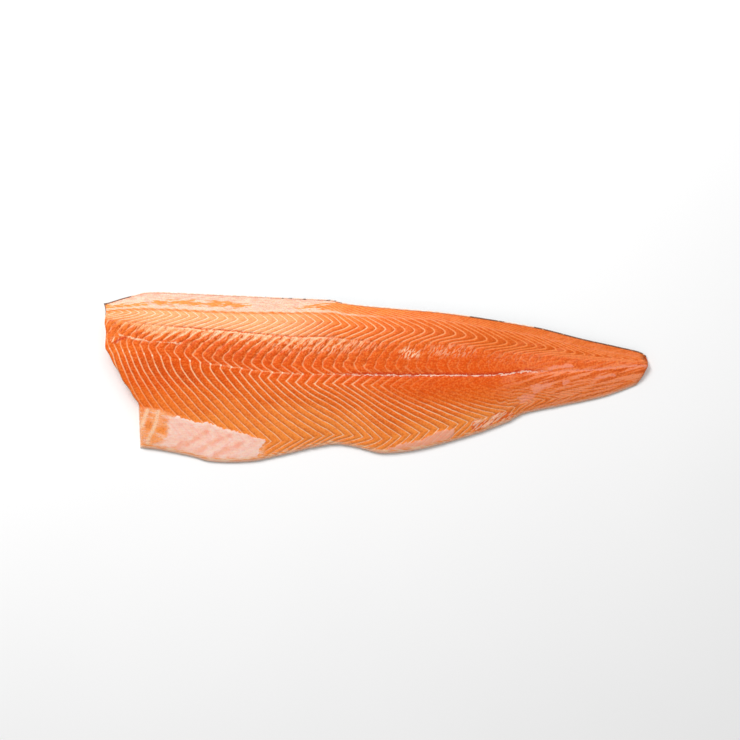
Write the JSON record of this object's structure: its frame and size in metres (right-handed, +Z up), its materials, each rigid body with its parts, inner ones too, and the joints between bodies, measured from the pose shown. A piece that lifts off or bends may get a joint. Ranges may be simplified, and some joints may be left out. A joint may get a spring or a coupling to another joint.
{
  "type": "raw salmon fillet",
  "caption": "Whole side of raw salmon lying skin down, trimmed square at the head end, with a thin belly flap and a tapering tail.",
  "frame": {"origin": "on the table, under the middle of the bounding box", "axes": "+X from the head cut to the tail, +Y from the belly to the back, +Z up out of the cut flesh"},
  "size_m": [0.5994, 0.188, 0.0282],
  "materials": {
    "salmon_flesh": "moist raw fish muscle, orange, with pale lines of fat between the muscle blocks",
    "salmon_skin": "wet scaled skin, silver grey, darker towards the back"
  },
  "bodies": {
    "root": {"flesh": "salmon_flesh", "skin": "salmon_skin"}
  },
  "joints": []
}
